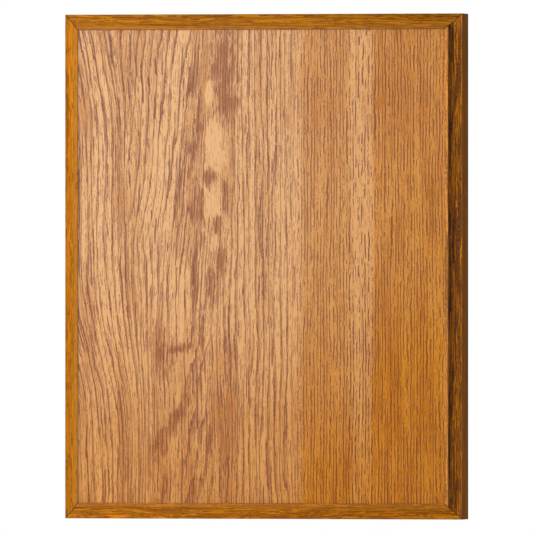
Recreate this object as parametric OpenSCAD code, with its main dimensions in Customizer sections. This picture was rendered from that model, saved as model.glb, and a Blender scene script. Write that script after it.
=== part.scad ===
// Wall plaque: a veneered fibreboard panel edged with mitred oak cove moulding,
// hung on a wall screw by a steel keyhole plate let into its back.
// Millimetres. +Z is up, the front faces -Y, and the origin is the middle of the back.

/* [Plaque] */
// Width over the moulding
plaque_w = 205; // [180:0.1:320]
// Height over the moulding
plaque_h = 254; // [220:0.1:400]
// Thickness from the back to the front lip of the moulding
plaque_t = 20.6; // [18:0.1:24]

/* [Moulding] */
// Width of a rail, from its outer side to the panel
rail_w = 7.9; // [7.5:0.1:12]
// Radius of the cove
cove_r = 5.6; // [4:0.1:6.5]
// Width of the flat ledge outside the cove
ledge_w = 0.5; // [0.4:0.05:0.6]
// Radius that eases the outer edges
edge_r = 0.3; // [0.1:0.05:0.35]
// How far the lip stands above the panel
lip_step = 0.6; // [0.3:0.05:1.2]
// Thickness of the tongue that runs into the core
tongue_t = 3; // [2:0.1:4]
// Length of the tongue
tongue_d = 4; // [2:0.1:5]

/* [Panel] */
// Thickness of the oak face veneer
veneer_t = 0.6; // [0.4:0.05:1]
// Thickness of the balancing sheet on the back
back_t = 0.5; // [0.3:0.05:0.8]

/* [Keyhole plates] */
// Length of a plate
plate_l = 44; // [42:0.5:50]
// Width of a plate
plate_w = 16; // [15:0.5:20]
// Thickness of a plate
plate_t = 1.5; // [1.2:0.1:2]
// Radius of the hole that takes the screw's head
entry_r = 4.5; // [4:0.1:5]
// Radius of the slot that takes the screw's shank
slot_r = 2.2; // [2:0.1:2.3]
// Distance from the entry hole to the end of the slot
slot_l = 11; // [9:0.5:12]
// Depth of the well behind a plate
well_d = 7; // [5:0.5:8]
// Height of the upper plate's middle
top_plate_z = 88; // [60:1:90]
// Distance of the side plate's middle from the plaque's middle
side_plate_x = 62; // [30:1:64]

/* [Fasteners] */
// Length of a plate screw
screw_l = 12.7; // [10:0.1:14]
// Radius of a plate screw's head
head_r = 2.7; // [2.5:0.05:2.9]
// Depth of a corner nail
nail_d = 10; // [6:0.5:12]
// Length of each leg of a corner nail
nail_leg = 4.4; // [3.5:0.1:4.6]
// Thickness of a corner nail's strip
nail_t = 0.6; // [0.5:0.05:0.8]

/* [Hidden] */
$fn = 64;
glue = 0.05;                        // gap left for glue at each joint face
mitre_gap = 0.12;                   // width of the line where two rails meet
panel_t = plaque_t - lip_step;      // back to the face of the veneer
panel_w = plaque_w - 2 * rail_w - 2 * glue;
panel_h = plaque_h - 2 * rail_w - 2 * glue;
core_t = panel_t - veneer_t - back_t;
tongue_y = panel_t / 2 - tongue_t / 2;
back_corner_r = 1;                  // the rails' outer back edges
screw_pitch = plate_l - 9;          // between the two screws of a plate
entry_z = -slot_l / 2 + 0.5;        // the entry hole, from the plate's middle
well_r = entry_r + 1.6;
head_h = 1.6;                       // depth of a screw's countersunk head
root_r = 1;                         // a screw's core
thread_r = 1.4;                     // a screw's thread
thread_pitch = 1.1;
thread_n = floor((screw_l - head_h - 3) / thread_pitch);
pilot_r = thread_r + 0.06;
recess_w = 0.7;                     // width of a blade of the cross recess
recess_l = 3;
recess_d = 1.1;
nail_apex = 3.4;                    // the nail's apex, in from both outer sides
nail_splay = 8;                     // angle of a leg from its rail's direction
nail_lip = 0.5;                     // the short return at the end of each leg

oak_face = "#D7A06A";
oak_rail = "#B5711F";
board = "#A98B66";
backing = "#8A6B4A";
zinc = "#C4C6C8";

// Lays a flat drawing on the back and gives it depth d from y0 towards the front.
module inlay(y0, d) {
  translate([0, -y0, 0]) rotate([90, 0, 0]) linear_extrude(d) children();
}

// What a convex edge loses when it is eased to radius r. The corner is at the origin.
module eased_corner(r) {
  difference() {
    translate([-1, -1]) square(r + 1);
    translate([r, r]) circle(r);
  }
}

// Cross-section of a rail: x runs inwards from the outer side, y from the back to the front.
module rail_section() {
  difference() {
    square([rail_w, plaque_t]);
    translate([ledge_w, plaque_t]) circle(cove_r);
    translate([-1, plaque_t - cove_r]) square([ledge_w + 1, cove_r + 1]);
    translate([0, plaque_t - cove_r]) mirror([0, 1]) eased_corner(edge_r);
    eased_corner(back_corner_r);
  }
  translate([rail_w - 0.5, tongue_y + glue]) square([tongue_d + 0.5, tongue_t - 2 * glue]);
}

// A rail along the bottom, its outer side at z = 0, with both ends cut to 45 degrees.
module bottom_rail_of(length) {
  reach = rail_w + tongue_d;
  half = length / 2 - mitre_gap / 2;
  intersection() {
    rotate([0, -90, 180]) linear_extrude(length, center = true) rail_section();
    inlay(-1, plaque_t + 2)
      polygon([[-half, 0], [half, 0], [half - reach, reach], [reach - half, reach]]);
  }
}

// One leg of a corner nail, from the apex along +X, grown by ease on all sides.
module nail_leg_drawing(ease) {
  rotate(-nail_splay) {
    translate([-nail_t / 2 - ease, -nail_t / 2 - ease])
      square([nail_leg + nail_t / 2 + 2 * ease, nail_t + 2 * ease]);
    translate([nail_leg - nail_t - ease, -nail_t / 2 - nail_lip - ease])
      square([nail_t + 2 * ease, nail_t + nail_lip + 2 * ease]);
  }
}

// A V-shaped nail across each mitre, flush with the back.
module corner_nail_set(ease = 0) {
  for (sx = [0, 1], sz = [0, 1])
    mirror([sx, 0, 0]) mirror([0, 0, sz])
      translate([-plaque_w / 2 + nail_apex, 0, -plaque_h / 2 + nail_apex])
        inlay(-ease, nail_d + 2 * ease) {
          nail_leg_drawing(ease);
          mirror([1, -1]) nail_leg_drawing(ease);
        }
}

// A rail on one side: angle 0 is the bottom, 90 the left, 180 the top and 270 the right.
module rail(angle) {
  upright = angle % 180 == 90;
  length = upright ? plaque_h : plaque_w;
  across = upright ? plaque_w : plaque_h;
  color(oak_rail) difference() {
    rotate([0, angle, 0]) translate([0, 0, -across / 2]) bottom_rail_of(length);
    corner_nail_set(glue);
  }
}

// Outline of a keyhole plate, upright, with its middle at the origin.
module plate_outline(ease = 0) {
  reach = plate_l / 2 - plate_w / 2;
  for (s = [-1, 1]) translate([0, s * reach]) circle(plate_w / 2 + ease);
  translate([-plate_w / 2 - ease, -reach]) square([plate_w + 2 * ease, 2 * reach]);
}

// A round hole of radius r_low at the entry, joined to a slot of radius r_high above it.
module keyhole(r_low, r_high) {
  translate([0, entry_z]) circle(r_low);
  translate([0, entry_z + slot_l]) circle(r_high);
  translate([-r_high, entry_z]) square([2 * r_high, slot_l]);
}

module at_plate_screws() {
  for (s = [-1, 1]) translate([0, 0, s * screw_pitch / 2]) children();
}

// Puts an upright child at the upper plate, or turned a quarter at the side plate.
module at_top_plate() translate([0, 0, top_plate_z]) children();
module at_side_plate() translate([-side_plate_x, 0, 0]) rotate([0, -90, 0]) children();

module keyhole_plate() {
  difference() {
    inlay(0, plate_t) difference() {
      plate_outline();
      keyhole(entry_r, slot_r);
    }
    at_plate_screws() rotate([90, 0, 0]) translate([0, 0, -0.01])
      cylinder(r1 = head_r + 0.06, r2 = thread_r + 0.06, h = plate_t + 0.02);
  }
}

// A countersunk wood screw, its head flush with the back and its point to the front.
module plate_screw() {
  thread_start = head_h + 0.9;
  thread_end = thread_start + thread_n * thread_pitch;
  difference() {
    rotate([90, 0, 0]) rotate_extrude()
      polygon([
        [0, 0], [head_r, 0], [head_r, 0.15], [root_r, head_h],
        for (i = [0:thread_n - 1], p = [[0, root_r], [0.5, thread_r], [0.7, thread_r]])
          [p[1], thread_start + (i + p[0]) * thread_pitch],
        [root_r, thread_end], [0, screw_l]
      ]);
    for (a = [45, 135]) rotate([0, a, 0])
      translate([-recess_l / 2, -recess_d, -recess_w / 2]) cube([recess_l, recess_d + 1, recess_w]);
  }
}

// What is cut from the core behind one plate: its seat, the well and the pilot holes.
module plate_pocket() {
  inlay(-1, plate_t + 1 + glue) plate_outline(glue);
  inlay(plate_t, well_d) keyhole(well_r, well_r);
  at_plate_screws() rotate([90, 0, 0]) cylinder(r = pilot_r, h = screw_l + 0.3);
}

module core_board() {
  groove = tongue_d + 0.3;
  color(board) difference() {
    inlay(back_t, core_t) square([panel_w, panel_h], center = true);
    inlay(tongue_y, tongue_t) difference() {
      square([panel_w + 2, panel_h + 2], center = true);
      square([panel_w - 2 * groove, panel_h - 2 * groove], center = true);
    }
    at_top_plate() plate_pocket();
    at_side_plate() plate_pocket();
  }
}

module front_veneer() {
  color(oak_face) inlay(panel_t - veneer_t, veneer_t) square([panel_w, panel_h], center = true);
}

module back_sheet() {
  color(backing) difference() {
    inlay(0, back_t) square([panel_w, panel_h], center = true);
    at_top_plate() inlay(-1, back_t + 2) plate_outline(glue);
    at_side_plate() inlay(-1, back_t + 2) plate_outline(glue);
  }
}

module corner_nails() color(zinc) corner_nail_set();

module top_keyhole_plate() color(zinc) at_top_plate() keyhole_plate();

module side_keyhole_plate() color(zinc) at_side_plate() keyhole_plate();

module plate_screws() color(zinc) {
  at_top_plate() at_plate_screws() plate_screw();
  at_side_plate() at_plate_screws() plate_screw();
}

core_board();
front_veneer();
back_sheet();
rail(180);  // top_rail
rail(0);  // bottom_rail
rail(90);  // left_rail
rail(270);  // right_rail
corner_nails();
top_keyhole_plate();
side_keyhole_plate();
plate_screws();
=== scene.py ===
import math

import bmesh
import bpy
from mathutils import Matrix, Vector


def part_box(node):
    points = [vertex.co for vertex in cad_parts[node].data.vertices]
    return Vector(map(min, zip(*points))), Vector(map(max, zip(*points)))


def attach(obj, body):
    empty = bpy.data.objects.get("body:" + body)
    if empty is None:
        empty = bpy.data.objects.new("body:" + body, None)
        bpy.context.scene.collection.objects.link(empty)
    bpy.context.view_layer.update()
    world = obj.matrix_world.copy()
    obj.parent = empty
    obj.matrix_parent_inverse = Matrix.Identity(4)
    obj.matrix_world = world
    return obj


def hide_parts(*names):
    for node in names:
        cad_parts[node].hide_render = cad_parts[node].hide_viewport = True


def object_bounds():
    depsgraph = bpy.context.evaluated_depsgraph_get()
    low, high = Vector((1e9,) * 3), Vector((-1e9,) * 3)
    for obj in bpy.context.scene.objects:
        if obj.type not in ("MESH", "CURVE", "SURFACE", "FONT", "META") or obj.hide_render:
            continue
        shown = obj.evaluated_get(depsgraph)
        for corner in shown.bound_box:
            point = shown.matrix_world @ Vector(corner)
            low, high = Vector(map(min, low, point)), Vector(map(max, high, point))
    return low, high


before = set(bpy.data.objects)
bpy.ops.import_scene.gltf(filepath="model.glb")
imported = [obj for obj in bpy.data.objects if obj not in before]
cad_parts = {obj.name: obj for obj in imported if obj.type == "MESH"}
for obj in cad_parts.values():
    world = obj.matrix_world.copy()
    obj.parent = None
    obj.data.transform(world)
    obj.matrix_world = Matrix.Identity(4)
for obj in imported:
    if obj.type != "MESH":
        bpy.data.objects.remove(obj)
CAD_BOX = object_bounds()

MM = 0.001

# Sizes that the frame gives, in metres. The plaque's front faces -Y and its back is at y = 0.
PLAQUE_W, PLAQUE_T, PLAQUE_H = CAD_BOX[1] - CAD_BOX[0]
HALF_W, HALF_H = PLAQUE_W / 2, PLAQUE_H / 2
VENEER_LOW, VENEER_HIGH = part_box("front_veneer")
PANEL_W = VENEER_HIGH.x - VENEER_LOW.x
PANEL_H = VENEER_HIGH.z - VENEER_LOW.z
GLUE = 0.05 * MM                                   # the gap between a rail and the panel
RAIL_W = (PLAQUE_W - PANEL_W) / 2 - GLUE
TONGUE_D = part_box("bottom_rail")[1].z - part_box("bottom_rail")[0].z - RAIL_W

# The rest of the rail's section, as the CAD draws it, with its sharp corners eased.
COVE_R = 5.6 * MM
LEDGE_W = 0.5 * MM
OUTER_EASE = 0.3 * MM
BACK_EASE = 1.0 * MM
LIP_START = (LEDGE_W + COVE_R) / MM                # from the outer side to the lip, in mm
LIP_EASE = 0.18 * MM
INNER_EASE = 0.15 * MM                             # at the back, beside the back sheet
TONGUE_T = 3 * MM - 2 * GLUE
TONGUE_Y = -VENEER_LOW.y / 2 - TONGUE_T / 2        # from the back to the tongue
MITRE_GAP = 0.06 * MM                              # from the end of a rail to the mitre's plane
MITRE_EASE = 0.12 * MM

# The corner nails, as part.scad has them, and the glue in the mitres, which it leaves out.
NAIL_IN = 3.4 * MM                                 # the apex, in from both outer sides
NAIL_DEPTH = 10 * MM
SLOT_EASE = 0.09 * MM                              # how much a nail's slot is grown at its corners
GLUE_OFFSET = 0.014 * MM                           # mitre's plane to the glue's face, along x and z
GLUE_START = 1.3 * MM                              # from the outer side to the glue
GLUE_BACK = 0.3 * MM                               # from the back to the glue
GLUE_FRONT = PLAQUE_T - COVE_R - 0.4 * MM          # just behind the ledge
GLUE_CLEAR = 0.7 * MM                              # from the nail's apex to the glue beside it
GLUE_BEYOND = 0.4 * MM                             # from the nail's end to the glue past it

WELD = 0.001 * MM                                  # points nearer than this are one point
SHARP_DEGREES = 32                                 # an edge that turns more than this stays crisp


# ---------------------------------------------------------------- node expressions

class Field:
    """A value that varies over a surface: one output of a node, with arithmetic."""

    def __init__(self, graph, socket):
        self.graph = graph
        self.socket = socket

    def math(self, operation, *others):
        """A Math node with this value as its first input."""
        node = self.graph.tree.nodes.new("ShaderNodeMath")
        node.operation = operation
        for socket, value in zip(node.inputs, (self, *others)):
            self.graph.feed(socket, value)
        return Field(self.graph, node.outputs[0])

    def __add__(self, other):
        return self.math("ADD", other)

    __radd__ = __add__

    def __mul__(self, other):
        return self.math("MULTIPLY", other)

    __rmul__ = __mul__

    def __sub__(self, other):
        return self.math("SUBTRACT", other)

    def __rsub__(self, other):
        return (self * -1) + other

    def __truediv__(self, other):
        return self.math("DIVIDE", other)

    def __abs__(self):
        return self.math("ABSOLUTE")

    def sqrt(self):
        return self.math("SQRT")

    def fract(self):
        return self.math("FRACT")

    def least(self, other):
        return self.math("MINIMUM", other)

    def most(self, other):
        return self.math("MAXIMUM", other)

    def rise(self, low, high):
        """0 at low and 1 at high, smooth between them. low may be the larger one."""
        node = self.graph.tree.nodes.new("ShaderNodeMapRange")
        node.interpolation_type = "SMOOTHSTEP"
        if low > high:
            return 1 - self.rise(high, low)
        for name, value in (("Value", self), ("From Min", low), ("From Max", high)):
            self.graph.feed(node.inputs[name], value)
        return Field(self.graph, node.outputs["Result"])

    def curve(self, points):
        """A smooth curve through (place, value) points, flat beyond the first and last."""
        places = [p for p, _ in points]
        values = [v for _, v in points]
        low, high = min(values), max(values)
        node = self.graph.tree.nodes.new("ShaderNodeFloatCurve")
        line = node.mapping.curves[0]
        spread = [((p - places[0]) / (places[-1] - places[0]), (v - low) / (high - low))
                  for p, v in points]
        line.points[0].location = spread[0]
        line.points[1].location = spread[-1]
        for place in spread[1:-1]:
            line.points.new(*place)
        node.mapping.update()
        along = (self - places[0]) * (1 / (places[-1] - places[0]))
        self.graph.feed(node.inputs["Value"], along.most(0).least(1))
        return Field(self.graph, node.outputs[0]) * (high - low) + low


class Graph:
    """The node tree of one material."""

    def __init__(self, name):
        self.material = bpy.data.materials.new(name)
        self.material.use_nodes = True
        self.tree = self.material.node_tree
        self.tree.nodes.clear()

    def feed(self, socket, value):
        """Links a field to a socket, or sets a constant on it."""
        if isinstance(value, Field):
            self.tree.links.new(value.socket, socket)
        else:
            socket.default_value = value

    def place(self):
        """Where the surface is, in millimetres, as three fields."""
        coordinates = self.tree.nodes.new("ShaderNodeTexCoord")
        parts = self.tree.nodes.new("ShaderNodeSeparateXYZ")
        self.tree.links.new(coordinates.outputs["Object"], parts.inputs[0])
        return [Field(self, parts.outputs[k]) * (1 / MM) for k in range(3)]

    def point(self, x, y, z):
        """A vector from three fields or numbers."""
        node = self.tree.nodes.new("ShaderNodeCombineXYZ")
        for socket, value in zip(node.inputs, (x, y, z)):
            self.feed(socket, value)
        return Field(self, node.outputs[0])

    def noise(self, x, y, z=0.0, detail=1.0, roughness=0.5):
        """Noise between about -1 and 1, with features about one unit across."""
        node = self.tree.nodes.new("ShaderNodeTexNoise")
        self.feed(node.inputs["Vector"], self.point(x, y, z))
        self.feed(node.inputs["Scale"], 1.0)
        self.feed(node.inputs["Detail"], detail)
        self.feed(node.inputs["Roughness"], roughness)
        return (Field(self, node.outputs["Fac"]) - 0.5) * 2

    def rows(self, across, along, pitch, length, kept, seed, half, sway=0.4):
        """Broken lines along the grain, and the pale wood close beside them.

        kept is the share of each line that shows, and half is half its width in pitches.
        """
        place = across / pitch + seed
        row = place.math("FLOOR")
        strength = self.noise(row * 7.31 + 0.4, along / length, seed, 3, 0.6)
        sway = self.noise(row * 3.77 + 0.7, along / length * 1.7, seed + 5.5, 1) * sway
        there = (strength + (kept - 0.5) * 0.85).rise(-0.08, 0.1)
        away = abs(place - row - 0.5 - sway)
        line = away.rise(half * 1.4, half * 0.7) * there
        beside = away.rise(half * 3.2, half * 2) * away.rise(half * 1.2, half * 1.8) * there
        return line, beside

    def patches(self, x, z, places):
        """Ovals: 1 in the middle of one, 0 at its edge and negative outside them all.

        Each is its middle, its half width and height, and its lean to the right in degrees.
        """
        least = None
        for mid_x, mid_z, half_x, half_z, lean in places:
            up = z.math("MULTIPLY_ADD", 1 / half_z, -mid_z / half_z)
            side = x.math("MULTIPLY_ADD", 1 / half_x, -mid_x / half_x)
            side = up.math("MULTIPLY_ADD", -math.tan(math.radians(lean)) * half_z / half_x, side)
            reach = side.math("MULTIPLY_ADD", side, up * up)
            least = reach if least is None else least.least(reach)
        return 1 - least.sqrt()

    def mix(self, factor, first, second):
        """The first colour where the factor is 0, and the second where it is 1."""
        node = self.tree.nodes.new("ShaderNodeMix")
        node.data_type = "RGBA"
        self.feed(node.inputs[0], factor)
        self.feed(node.inputs[6], first)
        self.feed(node.inputs[7], second)
        return Field(self, node.outputs[2])

    def finish(self, shade, roughness, height, height_size, **fixed):
        """A Principled surface. height runs from about 0 to 1, and height_size is in metres.

        fixed holds sockets that are the same all over, with _ for a space in their names.
        """
        shader = self.tree.nodes.new("ShaderNodeBsdfPrincipled")
        self.feed(shader.inputs["Base Color"], shade)
        self.feed(shader.inputs["Roughness"], roughness)
        for name, value in fixed.items():
            shader.inputs[name.replace("_", " ")].default_value = value
        bump = self.tree.nodes.new("ShaderNodeBump")
        bump.inputs["Distance"].default_value = height_size
        self.feed(bump.inputs["Height"], height)
        self.tree.links.new(bump.outputs[0], shader.inputs["Normal"])
        output = self.tree.nodes.new("ShaderNodeOutputMaterial")
        self.tree.links.new(shader.outputs[0], output.inputs[0])
        return self.material


def colour(red, green, blue):
    """A screen colour, 0 to 255, as the linear colour that a shader takes."""
    def linear(value):
        value = value / 255
        return value / 12.92 if value <= 0.04045 else ((value + 0.055) / 1.055) ** 2.4

    return (linear(red), linear(green), linear(blue), 1.0)


# ---------------------------------------------------------------- wood

# Where the figure's dark patches and pale eyes lie on the veneer, in millimetres:
# middle, half width, half height, and lean to the right in degrees.
DARK_PATCHES = [
    (-18.8, 99, 7.4, 27, 0), (-17.6, 81, 6.6, 12, 0), (-25.5, 109, 1.3, 5, 0),
    (-32, 74, 2.4, 13, 3), (-36, 53, 1.8, 12, 12), (-35.6, 95, 2.0, 10, 14),
    (-42.5, 38, 1.3, 20, 8), (-26.5, 45, 3.4, 5, 0), (-18.4, 36, 2.2, 11, 0),
    (-31.5, 28, 2.2, 16, 0), (-22.4, 21, 3.0, 6, 0), (-20.4, 2, 2.8, 10, 0),
    (-35, -7, 2.4, 13, 0), (-25.5, -10, 1.9, 11, 0), (-43, -41.5, 8, 2.8, 58),
    (-52, -43, 3.4, 12, -6), (-30.5, -37, 1.2, 12, 0), (-43, -75, 3.4, 21, 25),
    (-52.5, -90, 3.6, 9, 8), (-27, -88, 1.5, 8, 8), (-33, -80, 1.2, 4, 14),
    (-34.8, -110, 1.3, 10, 0), (-50, -112, 1.6, 9, 0),
]
PALE_EYES = [
    (-24.5, 31, 3.6, 6.5, 0), (-24, 11.5, 2.6, 4, 0), (-26.8, 87, 2.3, 6, 0),
    (-24, 62, 4.5, 10, 0), (-41, -17, 4.4, 18, 4),
]


def grain_lean(x, t):
    """How far the grain's lines lie to one side, near the left edge and beside the flame."""
    lean = t.curve([(0.66, 0), (0.78, -1), (0.9, -5), (1, -9)]) * x.rise(-66, -88)
    lean += t.curve([(0.1, 12), (0.2, 11), (0.3, 6.5), (0.4, 1.6), (0.48, 0)]) * x.rise(-52, -74)
    lean += t.curve([(0.5, 0), (1, 8)]) * x.rise(-66, -44) * x.rise(-8, -34)
    return lean


def ring_lines(g, x, z, t, q, wander, open_grain):
    """The growth rings' dark lines, and the softer early wood beside them."""
    # Rings round an axis that leans, nearer to the face or farther from it.
    axis = t.curve([(0, -52), (0.2, -48), (0.4, -41.5), (0.55, -27), (0.75, -24.5), (1, -19)])
    depth = t.curve([(0, 2.7), (0.11, 2.05), (0.25, 1.5), (0.32, 1.02), (0.36, 0.7), (0.43, 0.5),
                     (0.54, 0.72), (0.59, 1.02), (0.64, 1.5), (0.70, 2.02), (0.76, 2.5),
                     (0.83, 2.98), (0.9, 3.1), (1, 3.45)])
    ring_w = 3.0
    stripe_w = 3.2
    core_depth = 5.5
    across = (x + wander - axis) / ring_w
    reach = depth + core_depth
    ring = (across * across + reach * reach).sqrt() - core_depth
    steep = 1 - (reach / (ring + core_depth)).rise(0.88, 0.97)  # not cut along the ring

    # Rings farther out stand on edge and run straight, so they are plain stripes.
    outer = (x - t.curve([(0, -50), (0.35, -54), (0.6, -68), (1, -66)])).rise(6, -8)
    outer += (x - t.curve([(0, -26), (0.4, -27), (0.55, -18), (1, -16)])).rise(-4, 5)
    outer = outer.most(t.rise(0.34, 0.42) * t.rise(0.6, 0.52))
    jitter = g.noise(q / 0.8, z / 8, 5.0, 2) * 0.2
    jitter += g.noise(q / 5, z / 80, 13.0, 1) * 0.9
    line, early = 0.0, 0.0
    for place, share in ((ring, (1 - outer) * steep), (q / stripe_w, outer * open_grain)):
        phase = (place + jitter).fract()
        start = phase.rise(0.0, 0.05)
        line = phase.rise(0.32, 0.06) * start * share + line
        early = phase.rise(0.66, 0.12) * start * share + early
    line *= g.noise(x / 0.8, z / 14, 7.0, 1).rise(-0.55, 0.05)
    return line, early


def wood_bands(x, u, t):
    """Bands of darker and lighter wood, in the upper part and the lower part."""
    high = u.curve([(-96, 0.6), (-88, 0.65), (-85, 0.15), (-79, 0.1), (-76, 0.65), (-64, 0.6),
                    (-60, 0.3), (-50, 0.12), (-45, 0.2), (-42, 0.7), (-35, 0.72), (-31, 0.35),
                    (-24, 0.35), (-20, 0.5), (-14, 0.45), (-12, 0.1), (-4, 0.15), (-1, 0.5),
                    (5, 0.5), (7, 0.1), (19, 0.15), (23, 0.72), (44, 0.7), (48, 0.15),
                    (56, 0.2), (60, 0.8), (76, 0.78), (82, 0.6), (94, 0.7)])
    low = x.curve([(-94, 0.6), (-87, 0.5), (-84, 0.15), (-75, 0.12), (-73, 0.75), (-68, 0.75),
                   (-66, 0.2), (-58, 0.15), (-55, 0.55), (-44, 0.6), (-38, 0.7), (-30, 0.45),
                   (-24, 0.6), (-20, 0.85), (-13, 0.8), (-11, 0.3), (0, 0.35), (4, 0.55),
                   (7, 0.35), (19, 0.4), (23, 0.75), (44, 0.75), (48, 0.35), (56, 0.4),
                   (60, 0.8), (94, 0.75)])
    return high + (low - high) * t.rise(0.46, 0.3)


def stain_and_sheen_warmth(g, x, z, t):
    """How orange the panel is painted, from pale tan at the upper left to orange towards the lower
    right: partly the stain's own variation, partly a painted sheen where the light's reflection
    pales the upper left.
    """
    warmth_and_sheen = x.curve([(-94, 0.0), (8, 0.04), (20, 0.12), (24, 0.36), (44, 0.4), (48, 0.26),
                      (56, 0.3), (60, 0.64), (94, 0.74)])
    warmth_and_sheen += t.curve([(0, 0.66), (0.12, 0.54), (0.35, 0.26), (0.55, 0.09), (1, 0.0)])
    return (warmth_and_sheen + g.noise(x / 30, z / 60, 31.0, 1) * 0.07).most(0).least(1)


def oak_veneer():
    """Plain-sawn oak: a flame figure left of the middle, straight grain to its right."""
    g = Graph("oak_veneer")
    x, _, z = g.place()
    t = z / (PANEL_H / MM) + 0.5                   # 0 at the foot of the panel, 1 at its top

    # The grain wanders a little, and less where it is straight.
    calm = x.rise(12, 23)                          # 1 in the straight grain
    open_grain = 1 - calm
    wander = g.noise(x / 24, z / 70, 3.0, 1) * (2.6 - calm * 1.8)
    wander += g.noise(x / 6, z / 26, 8.0, 1) * (0.6 - calm * 0.3)
    wander += g.noise(x / 1.4, z / 3.6, 1.0, 3, 0.65) * (0.3 - calm * 0.12)
    u = x - grain_lean(x, t)                       # across the grain, in millimetres
    q = u + wander                                 # the same, with the grain's wander

    line, early = ring_lines(g, x, z, t, q, wander, open_grain)

    # Dark patches and pale eyes, with combed, ragged edges.
    comb = g.noise(x / 0.5, z / 6, 41.0, 2, 0.6)
    ragged = g.noise(x / 2.2, z / 8, 43.0, 1)
    patch = (g.patches(x, z, DARK_PATCHES) + comb * 1.6 + ragged * 1.1).rise(-0.45, 0.85)
    eye = (g.patches(x, z, PALE_EYES) + comb * 0.5 + ragged * 0.9).rise(-0.3, 0.45)
    patch *= 1 - eye

    # The ground between the pores: bands, stripes and streaks of darker and lighter wood.
    bands = wood_bands(x, u, t)
    stripe = g.noise(q / 2.8, z / 90, 11.0, 1)
    streak = g.noise(q / 0.6, z / 16, 17.0, 2, 0.6)
    fleck = g.noise(x / 0.35, z / 1.3, 61.0, 1)
    broad = g.noise(x / 9, z / 60, 29.0, 2)
    tone = bands * 0.9 + stripe * 0.6 + streak * (0.3 + calm * 0.2) + broad * 0.8
    tone += fleck * (0.3 + calm * 0.3) + t.curve([(0.2, -0.04), (0.5, -0.26), (0.8, -0.04)])
    tone += early * 0.3 - eye * 0.8

    # Pores: long lines in the open grain at the left, short close ones in the straight grain.
    close = q + g.noise(x / 4, z / 90, 19.0, 1) * 1.1
    crowd = 0.25 + bands * 0.2 + early * 0.3 + patch * 0.5 - eye * 0.15 + stripe * 0.3
    long_rows, by_long = g.rows(q, z, 2.1, 24, crowd, 4.0, 0.15)
    short_rows, by_short = g.rows(close, z, 1.66, 11, crowd + calm * 0.2, 23.0, 0.16,
                                  0.4 - calm * 0.1)
    fine_rows, _ = g.rows(x, z, 0.97, 6, 0.44 + patch * 0.3, 57.0, 0.22)
    bold = x.rise(42, 47) * x.rise(60, 55)         # a pale stripe with open pores
    pores = (long_rows * open_grain * 0.85).most(short_rows * (0.6 + 0.16 * calm + 0.2 * bold))
    pores = pores.most(fine_rows * (0.5 - eye * 0.3))
    soft = (streak + stripe * 0.4 + early * 0.2 - eye * 0.4).rise(0.0, 0.6) * 0.5
    dark = pores.most(line * 0.9).most(soft).most(patch * (0.32 + pores * 0.45))
    dark = (dark * (1 + fleck * 0.6)).least(1)
    pale = (by_long * open_grain).most(by_short) * (1 - patch) * 0.4
    tone = tone.most(patch).most(0).least(1)

    # Partly painted sheen: the pale tan towards the upper left stands for the light's reflection.
    warmth_and_sheen = stain_and_sheen_warmth(g, x, z, t)
    pale_wood = g.mix(warmth_and_sheen, colour(248, 200, 147), colour(224, 162, 72))
    light_wood = g.mix(warmth_and_sheen, colour(236, 182, 128), colour(213, 138, 36))
    mid_wood = g.mix(warmth_and_sheen, colour(200, 138, 84), colour(186, 103, 10))
    dark_wood = g.mix(warmth_and_sheen, colour(132, 78, 68), colour(126, 58, 14))

    # Painted highlight: the panel's left and top edges are painted paler, where their eased arrises
    # catch the light.
    painted_edge_highlight = (x + PANEL_W / 2 / MM).least(PANEL_H / 2 / MM - z).rise(0.9, 0.3)
    shade = g.mix(pale.most(painted_edge_highlight * 0.5), g.mix(tone, light_wood, mid_wood), pale_wood)
    shade = g.mix(dark, shade, dark_wood)

    fibre = g.noise(q / 0.28, z / 3.5, 2.0, 2)
    height = 0.7 - dark * 0.6 + fibre * 0.12
    roughness = 0.46 + dark * 0.18 + fibre * 0.04
    return g.finish(shade, roughness, height, 0.015 * MM, Specular_IOR_Level=0.15)


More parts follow.
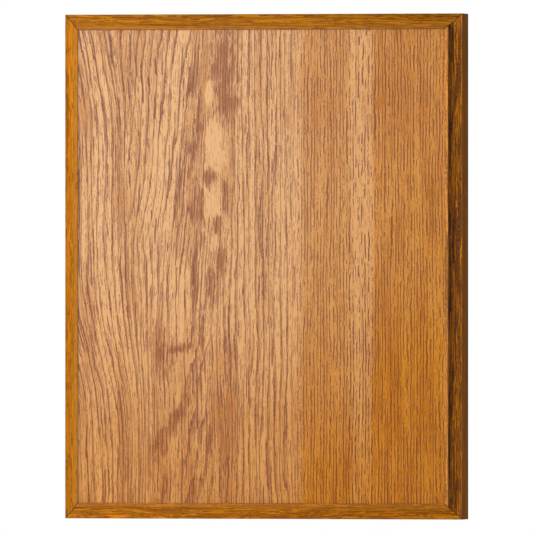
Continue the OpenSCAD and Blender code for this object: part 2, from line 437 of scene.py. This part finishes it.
def oak_moulding(name, upright, outer_side, seed, light, mid, dark, worn_and_highlit, figure_and_inner_shade):
    """Golden stained oak, its grain along the rail.

    outer_side is -1 or 1 for the side that the rail is on, and seed makes its grain its own.
    worn_and_highlit is the paler colour of the lip, partly wear and partly a painted highlight.
    figure_and_inner_shade is the strength of the dark streaks along the inner and the outer half of
    the moulding; where the inner one is larger, the inner half is also painted darker, a painted
    shade.
    """
    g = Graph(name)
    x, y, z = g.place()
    along, across = (z, x) if upright else (x, z)

    # s runs round the section, across the grain: 0 at the outer side, about 14 at the lip.
    half = (PLAQUE_W if upright else PLAQUE_H) / 2 / MM
    s = (across * -outer_side + half - y) * 0.72 - 6
    s += g.noise(seed, along / 30, s / 7, 1) * 1.6
    s += g.noise(seed + 4, along / 6, s / 2.2, 2) * 0.3
    # A larger inner figure gives stronger streaks on the inner half of the cove and paints it
    # darker there: a painted shade.
    inner, outer = figure_and_inner_shade
    strength = outer + (inner - outer) * s.rise(6.6, 9.4)

    # Pores, long dark veins and soft bands, which run along the rail.
    streak = g.noise(s / 0.9, along / 36, seed, 2)
    broad = g.noise(s / 3.2, along / 60, seed + 2, 1)
    crowd = 0.2 + strength * 0.5 + broad * 0.3
    fine, _ = g.rows(s, along, 0.85, 7, crowd + 0.1, seed + 9, 0.28)
    vein = abs(g.noise(s / 1.9, along / 60, seed + 6, 1)).rise(0.13, 0.07)
    thread = abs(g.noise(s / 1.1, along / 22, seed + 7, 1)).rise(0.13, 0.06)
    fleck = g.noise(s / 0.3, along / 1.4, seed, 1)
    bands = (streak + broad * 0.6).rise(0.02, 0.5)
    flank = (across * -outer_side + half).rise(0.5, 0.1)
    thin = g.noise(s / 0.42, along / 13, seed + 15, 2, 0.6)
    pores = (vein.most(thread * 0.7) * (0.1 + strength * 1.1)).most(fine * 0.7)
    deep = pores.most(bands * (0.06 + strength * 0.3)) * (1 - flank * 0.4)
    deep = deep.most(thin.rise(0.12, 0.4) * 0.6)
    # Painted shade: the inner half of the cove is darkened by the difference of the inner and outer
    # figure.
    deep = (deep * (1 + fleck * 0.6) + (inner - outer) * s.rise(6.6, 9.4) * 0.5).most(0).least(1)

    # The stain and painted light: duller on the outer sides, a painted shade, and on the back;
    # paler on the lip, partly wear and partly a painted highlight; dark in the mitre.
    tone = (0.45 + streak * 0.5 + thin * 0.8 + broad * 0.6 + fleck * 0.3).most(0).least(1)
    # Painted shade: the outer sides are painted a duller brown, and the back with them.
    outside = flank.most(y.rise(-0.7, -0.2))
    shade = g.mix(tone, colour(*light), colour(*mid))
    shade = g.mix(outside * 0.6, shade, colour(176, 112, 44))
    shade = g.mix(deep, shade, colour(*dark))
    # Partly wear and partly a painted highlight: the lip is painted paler, with chipped specks.
    lip = (across * -outer_side + half).rise(LIP_START - 0.3, LIP_START + 0.1) * y.rise(-19, -20)
    lip *= 0.6 - pores * 0.3 + streak * 0.5 + fleck * 0.8
    shade = g.mix(lip.most(0).least(1), shade, colour(*worn_and_highlit))
    seam = abs(abs(x) - abs(z) + (PLAQUE_H - PLAQUE_W) / 2 / MM)
    shade = g.mix(seam.rise(0.45, 0.12) * 0.75, shade, colour(70, 38, 28))

    fibre = g.noise(s / 0.3, along / 3, seed, 2)
    height = 0.7 - pores * 0.6 + fibre * 0.12
    roughness = 0.52 + pores * 0.14 + fibre * 0.04
    return g.finish(shade, roughness, height, 0.03 * MM, Specular_IOR_Level=0.06)


def fibreboard():
    """The core: pale matted fibres with a few darker flecks."""
    g = Graph("fibreboard")
    x, y, z = g.place()
    fibres = g.noise(x / 0.5, z / 0.5, y / 0.5, 4, 0.7)
    flecks = g.noise(x / 1.4 + 9, z / 0.6, y / 1.1, 2)
    mottle = g.noise(x / 12, z / 12, y / 12, 2)
    tone = (0.5 + fibres * 0.5 + mottle * 0.3).most(0).least(1)
    shade = g.mix(tone, colour(176, 146, 108), colour(132, 102, 70))
    shade = g.mix(flecks.rise(0.25, 0.5) * 0.5, shade, colour(98, 72, 48))
    return g.finish(shade, 0.85 + fibres * 0.05, fibres, 0.12 * MM, Specular_IOR_Level=0.2)


def backing():
    """The brown balancing sheet: a smooth fibre paper with a faint lengthwise lay."""
    g = Graph("backing")
    x, y, z = g.place()
    lay = g.noise(x / 0.6, z / 7, 4.0, 3, 0.6)
    speck = g.noise(x / 0.7 + 5, z / 0.7, 9.0, 2)
    cloud = g.noise(x / 40, z / 55, 1.0, 3)
    tone = (0.5 + lay * 0.35 + cloud * 0.5).most(0).least(1)
    shade = g.mix(tone, colour(150, 112, 76), colour(112, 78, 50))
    shade = g.mix(speck.rise(0.3, 0.55) * 0.35, shade, colour(78, 52, 34))
    return g.finish(shade, 0.62 + lay * 0.08, 0.5 + lay * 0.5, 0.05 * MM, Specular_IOR_Level=0.3)


def zinc(name, bright, dull):
    """Zinc-plated steel, faintly mottled and rubbed, and painted darker deeper in from its back: a
    painted shade in its recesses.
    """
    g = Graph(name)
    x, y, z = g.place()
    rub = g.noise(x / 0.12, z / 2.5, y / 0.4, 2)
    cloud = g.noise(x / 3, z / 3, y / 3, 3)
    tone = (0.5 + rub * 0.3 + cloud * 0.5).most(0).least(1)
    shade = g.mix(tone, colour(*bright), colour(*dull))
    # Painted shade: darker from 0.1 mm to 0.7 mm in from the back face, in the recesses.
    shade = g.mix(y.rise(-0.1, -0.7) * 0.8, shade, colour(50, 46, 42))
    roughness = 0.34 + cloud * 0.1 + rub * 0.05
    return g.finish(shade, roughness, 0.5 + rub * 0.4, 0.01 * MM, Metallic=1.0)


def glue_line():
    """Dried glue, stained as dark as the deepest pores."""
    g = Graph("glue_line")
    x, y, z = g.place()
    cloud = g.noise(x / 0.8, y / 0.8, z / 0.8, 3)
    shade = g.mix(0.5 + cloud * 1.2, colour(46, 24, 10), colour(74, 42, 18))
    return g.finish(shade, 0.6 + cloud * 0.2, cloud * 0.5, 0.01 * MM)


# ---------------------------------------------------------------- rails

# Each rail's length, and where a point lies that is s along, u in and d from the back.
RAILS = {
    "bottom_rail": (PLAQUE_W, lambda s, u, d: (s, -d, -HALF_H + u)),
    "top_rail": (PLAQUE_W, lambda s, u, d: (s, -d, HALF_H - u)),
    "left_rail": (PLAQUE_H, lambda s, u, d: (-HALF_W + u, -d, s)),
    "right_rail": (PLAQUE_H, lambda s, u, d: (HALF_W - u, -d, s)),
}
# What oak_moulding takes for each rail. The lip colours are partly a painted highlight, and the
# bottom and right rails' larger inner figure paints shade into their coves.
RAIL_WOOD = {
    "bottom_rail": ("oak_bottom", False, -1, 3.3, (240, 152, 22), (216, 128, 14),
                    (92, 44, 18), (168, 104, 42), (0.45, 0.4)),
    "top_rail": ("oak_top", False, 1, 11.7, (212, 136, 22), (188, 112, 12),
                 (84, 40, 16), (182, 116, 50), (0.35, 0.35)),
    "left_rail": ("oak_left", True, -1, 5.1, (218, 138, 20), (190, 112, 12),
                  (84, 42, 14), (204, 138, 66), (0.2, 0.2)),
    "right_rail": ("oak_right", True, 1, 17.9, (226, 138, 14), (196, 116, 24),
                   (68, 38, 34), (240, 162, 80), (0.7, 0.6)),
}


def eased(before, corner, after, radius, steps=5):
    """Points of an arc that rounds a square corner between two straight stretches."""
    before, corner, after = Vector(before), Vector(corner), Vector(after)
    back = (before - corner).normalized()
    on = (after - corner).normalized()
    centre = corner + (back + on) * radius
    turn = [math.pi / 2 * k / steps for k in range(steps + 1)]
    return [centre - on * radius * math.cos(a) - back * radius * math.sin(a) for a in turn]


def rail_section():
    """The section's outline: x in from the outer side, y from the back to the front."""
    front = PLAQUE_T
    ledge = front - COVE_R
    tongue = [(RAIL_W, TONGUE_Y + TONGUE_T), (RAIL_W + TONGUE_D, TONGUE_Y + TONGUE_T),
              (RAIL_W + TONGUE_D, TONGUE_Y), (RAIL_W, TONGUE_Y)]
    cove_steps = 28
    start = math.asin(LIP_EASE / COVE_R)
    sweep = math.pi / 2 - start
    cove = [Vector((LEDGE_W + COVE_R * math.sin(sweep * k / cove_steps),
                    front - COVE_R * math.cos(sweep * k / cove_steps)))
            for k in range(cove_steps + 1)]
    lip = LEDGE_W + COVE_R
    outline = eased((1, 0), (0, 0), (0, 1), BACK_EASE, 8)
    outline += eased((0, 0), (0, ledge), (1, ledge), OUTER_EASE)
    outline += cove
    outline += eased((lip, 0), (lip, front), (1, front), LIP_EASE)[1:]
    outline += eased((0, front), (RAIL_W, front), (RAIL_W, 0), LIP_EASE)
    outline += [Vector(p) for p in tongue]
    outline += eased((RAIL_W, 1), (RAIL_W, 0), (0, 0), INNER_EASE, 3)
    return outline


def drawn_in(outline, distance):
    """The same outline with each point moved inwards."""
    moved = []
    for k, point in enumerate(outline):
        along = (outline[(k + 1) % len(outline)] - outline[k - 1]).normalized()
        moved.append(point + Vector((along.y, -along.x)) * distance)
    return moved


def rail_mesh(name, length, place):
    """A mitred rail, with its ends eased. place puts a point of it, as RAILS says."""
    outline = rail_section()
    small = drawn_in(outline, MITRE_EASE)
    mesh = bmesh.new()
    loops = []
    for end in (-1, 1):
        pair = [(small, MITRE_GAP), (outline, MITRE_GAP + MITRE_EASE * 1.4)]
        for points, back in pair if end < 0 else reversed(pair):
            loops.append([mesh.verts.new(place(end * (length / 2 - p.x - back), p.x, p.y))
                          for p in points])
    mesh.faces.new(loops[0])
    mesh.faces.new(loops[-1])
    for first, second in zip(loops, loops[1:]):
        for k in range(len(outline)):
            mesh.faces.new((first[k - 1], first[k], second[k], second[k - 1]))
    bmesh.ops.recalc_face_normals(mesh, faces=mesh.faces)
    return as_object(name, mesh)


def as_object(name, mesh):
    """Turns a bmesh into an object, and frees it."""
    data = bpy.data.meshes.new(name)
    mesh.to_mesh(data)
    mesh.free()
    made = bpy.data.objects.new(name, data)
    bpy.context.collection.objects.link(made)
    smooth(data)
    return made


def smooth(data):
    """Smooth shading, but for edges that turn sharply."""
    data.shade_smooth()
    data.set_sharp_from_angle(angle=math.radians(SHARP_DEGREES))


def nail_slots():
    """A cutter for the slots in the backs of the rails: the corner nails, slightly grown."""
    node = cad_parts["corner_nails"]
    mesh = bmesh.new()
    mesh.from_mesh(node.data)
    bmesh.ops.remove_doubles(mesh, verts=mesh.verts, dist=WELD)
    mesh.transform(node.matrix_world)
    mesh.normal_update()
    for vertex, normal in [(v, v.normal.copy()) for v in mesh.verts]:
        vertex.co += normal * SLOT_EASE
    return as_object("nail_slots", mesh)


def cut(piece, cutter):
    """Takes the cutter's shape out of the piece for good, and leaves no sliver faces."""
    modifier = piece.modifiers.new("cut", "BOOLEAN")
    modifier.operation = "DIFFERENCE"
    modifier.solver = "EXACT"
    modifier.object = cutter
    whole = piece.data
    piece.data = bpy.data.meshes.new_from_object(
        piece.evaluated_get(bpy.context.evaluated_depsgraph_get()))
    piece.modifiers.clear()
    bpy.data.meshes.remove(whole)
    mesh = bmesh.new()
    mesh.from_mesh(piece.data)
    bmesh.ops.triangulate(mesh, faces=mesh.faces)
    bmesh.ops.dissolve_degenerate(mesh, edges=mesh.edges, dist=WELD)
    mesh.to_mesh(piece.data)
    mesh.free()
    smooth(piece.data)


def make_rails():
    """Puts a finer rail in place of each of the CAD's."""
    cutter = nail_slots()
    for node, (length, place) in RAILS.items():
        piece = rail_mesh(node + "_moulding", length, place)
        cut(piece, cutter)
        piece.data.materials.clear()
        piece.data.materials.append(oak_moulding(*RAIL_WOOD[node]))
        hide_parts(node)
        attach(piece, "root")
    bpy.data.objects.remove(cutter)


def make_mitre_glue():
    """A thin sheet of glue in each mitre, on both sides of the corner nail and beyond its end."""
    near, far = NAIL_IN - GLUE_CLEAR, NAIL_IN + GLUE_CLEAR
    inner = RAIL_W - GLUE
    beyond = NAIL_DEPTH + GLUE_BEYOND
    outline = [(GLUE_START, GLUE_BACK), (near, GLUE_BACK), (near, beyond), (far, beyond),
               (far, GLUE_BACK), (inner, GLUE_BACK), (inner, GLUE_FRONT), (GLUE_START, GLUE_FRONT)]
    mesh = bmesh.new()
    for side_x in (-1, 1):
        for side_z in (-1, 1):
            loops = []
            for shift in (-GLUE_OFFSET, GLUE_OFFSET):
                loops.append([mesh.verts.new((side_x * (HALF_W - u + shift), -d,
                                              side_z * (HALF_H - u - shift)))
                              for u, d in outline])
            first, second = loops
            mesh.faces.new(first)
            mesh.faces.new(second)
            for k in range(len(outline)):
                mesh.faces.new((first[k - 1], first[k], second[k], second[k - 1]))
    bmesh.ops.recalc_face_normals(mesh, faces=mesh.faces)
    piece = as_object("mitre_glue", mesh)
    piece.data.materials.append(glue_line())
    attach(piece, "root")


def give(node, material):
    """Puts a material on a CAD node."""
    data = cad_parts[node].data
    data.materials.clear()
    data.materials.append(material)


def dress_nodes():
    """Gives the CAD nodes that show their materials."""
    give("front_veneer", oak_veneer())
    give("core_board", fibreboard())
    give("back_sheet", backing())
    plate = zinc("zinc_plate", (214, 214, 212), (172, 174, 176))
    for node in ("top_keyhole_plate", "side_keyhole_plate"):
        give(node, plate)
    fixing = zinc("zinc_fixing", (236, 214, 160), (186, 166, 120))
    for node in ("corner_nails", "plate_screws"):
        give(node, fixing)


# ---------------------------------------------------------------- studio

FLOOR_DEPTH = 0.42                                 # below the plaque's middle
FLOOR_REACH = 6                                    # from the floor's middle to its sides
FLOOR_GLOW = 0.42                                  # lifts the floor for the camera only
ROOM_LIGHT = 0.15
# Name, azimuth and elevation in degrees, distance, width and height in metres, and watts.
# Azimuth 0 is straight in front, and 90 is to the plaque's right as the photo shows it.
LIGHTS = [
    ("key", -40, 20, 1.3, 1.2, 1.1, 13.4),
    ("rim", -128, 32, 1.2, 0.8, 0.8, 9),
    ("fill", 10, 55, 1.5, 1.4, 0.9, 5.5),
    ("overhead", 0, 89, 1.5, 2.2, 2.2, 6),
]
CAMERA_AZIMUTH = 13.0
CAMERA_DISTANCE = 9.0
CAMERA_REACH = 50                                  # how far it sees
SENSOR_W = 36                                      # millimetres, as is the lens
VIEW_HEIGHT = 0.2683                               # what the frame takes in at the plaque


def make_floor():
    """A pale floor well below the plaque. From underneath it lets the view through."""
    mesh = bmesh.new()
    bmesh.ops.create_grid(mesh, x_segments=8, y_segments=8, size=FLOOR_REACH)
    bmesh.ops.translate(mesh, verts=mesh.verts, vec=(0, 0, -FLOOR_DEPTH))
    floor = as_object("floor", mesh)
    g = Graph("floor")
    nodes, link = g.tree.nodes, g.tree.links.new
    paint = nodes.new("ShaderNodeBsdfDiffuse")
    paint.inputs["Color"].default_value = (0.86, 0.86, 0.85, 1)
    glow = nodes.new("ShaderNodeEmission")
    lit = nodes.new("ShaderNodeAddShader")
    clear = nodes.new("ShaderNodeBsdfTransparent")
    both = nodes.new("ShaderNodeMixShader")
    output = nodes.new("ShaderNodeOutputMaterial")
    seen = Field(g, nodes.new("ShaderNodeLightPath").outputs["Is Camera Ray"])
    g.feed(glow.inputs["Strength"], seen * FLOOR_GLOW)
    link(paint.outputs[0], lit.inputs[0])
    link(glow.outputs[0], lit.inputs[1])
    link(nodes.new("ShaderNodeNewGeometry").outputs["Backfacing"], both.inputs[0])
    link(lit.outputs[0], both.inputs[1])
    link(clear.outputs[0], both.inputs[2])
    link(both.outputs[0], output.inputs[0])
    floor.data.materials.append(g.material)


def make_world():
    """White behind the plaque, and a dimmer room that lights it."""
    world = bpy.data.worlds.new("studio")
    bpy.context.scene.world = world
    world.use_nodes = True
    tree = world.node_tree
    tree.nodes.clear()
    seen = tree.nodes.new("ShaderNodeBackground")
    seen.inputs[0].default_value = (1, 1, 1, 1)
    room = tree.nodes.new("ShaderNodeBackground")
    room.inputs[0].default_value = (0.97, 0.98, 1, 1)
    room.inputs[1].default_value = ROOM_LIGHT
    path = tree.nodes.new("ShaderNodeLightPath")
    both = tree.nodes.new("ShaderNodeMixShader")
    output = tree.nodes.new("ShaderNodeOutputWorld")
    tree.links.new(path.outputs["Is Camera Ray"], both.inputs[0])
    tree.links.new(room.outputs[0], both.inputs[1])
    tree.links.new(seen.outputs[0], both.inputs[2])
    tree.links.new(both.outputs[0], output.inputs[0])


def direction(azimuth, elevation):
    """The unit vector from the plaque towards a light or the camera."""
    a, e = math.radians(azimuth), math.radians(elevation)
    return Vector((math.sin(a) * math.cos(e), -math.cos(a) * math.cos(e), math.sin(e)))


def softbox(name, azimuth, elevation, distance, width, height, power):
    """A rectangular light that faces the plaque and doesn't show itself."""
    data = bpy.data.lights.new(name, "AREA")
    data.shape = "RECTANGLE"
    data.size, data.size_y = width, height
    data.energy = power
    light = bpy.data.objects.new(name, data)
    bpy.context.collection.objects.link(light)
    away = direction(azimuth, elevation)
    light.location = away * distance
    light.rotation_euler = (-away).to_track_quat("-Z", "Y").to_euler()
    light.visible_camera = False


def make_camera():
    """A long lens at the photo's angle, level with the middle of the plaque."""
    data = bpy.data.cameras.new("camera")
    data.sensor_width = SENSOR_W
    data.lens = data.sensor_width * CAMERA_DISTANCE / VIEW_HEIGHT
    data.clip_end = CAMERA_REACH
    camera = bpy.data.objects.new("camera", data)
    bpy.context.collection.objects.link(camera)
    side_depth = PLAQUE_T - COVE_R
    target = Vector((0, -side_depth / 2, 0))
    away = direction(CAMERA_AZIMUTH, 0)
    camera.location = target + away * CAMERA_DISTANCE
    camera.rotation_euler = (-away).to_track_quat("-Z", "Y").to_euler()
    bpy.context.scene.camera = camera
    bpy.context.scene.view_settings.view_transform = "Standard"


make_rails()
make_mitre_glue()
dress_nodes()
make_floor()
make_world()
for light in LIGHTS:
    softbox(*light)
make_camera()
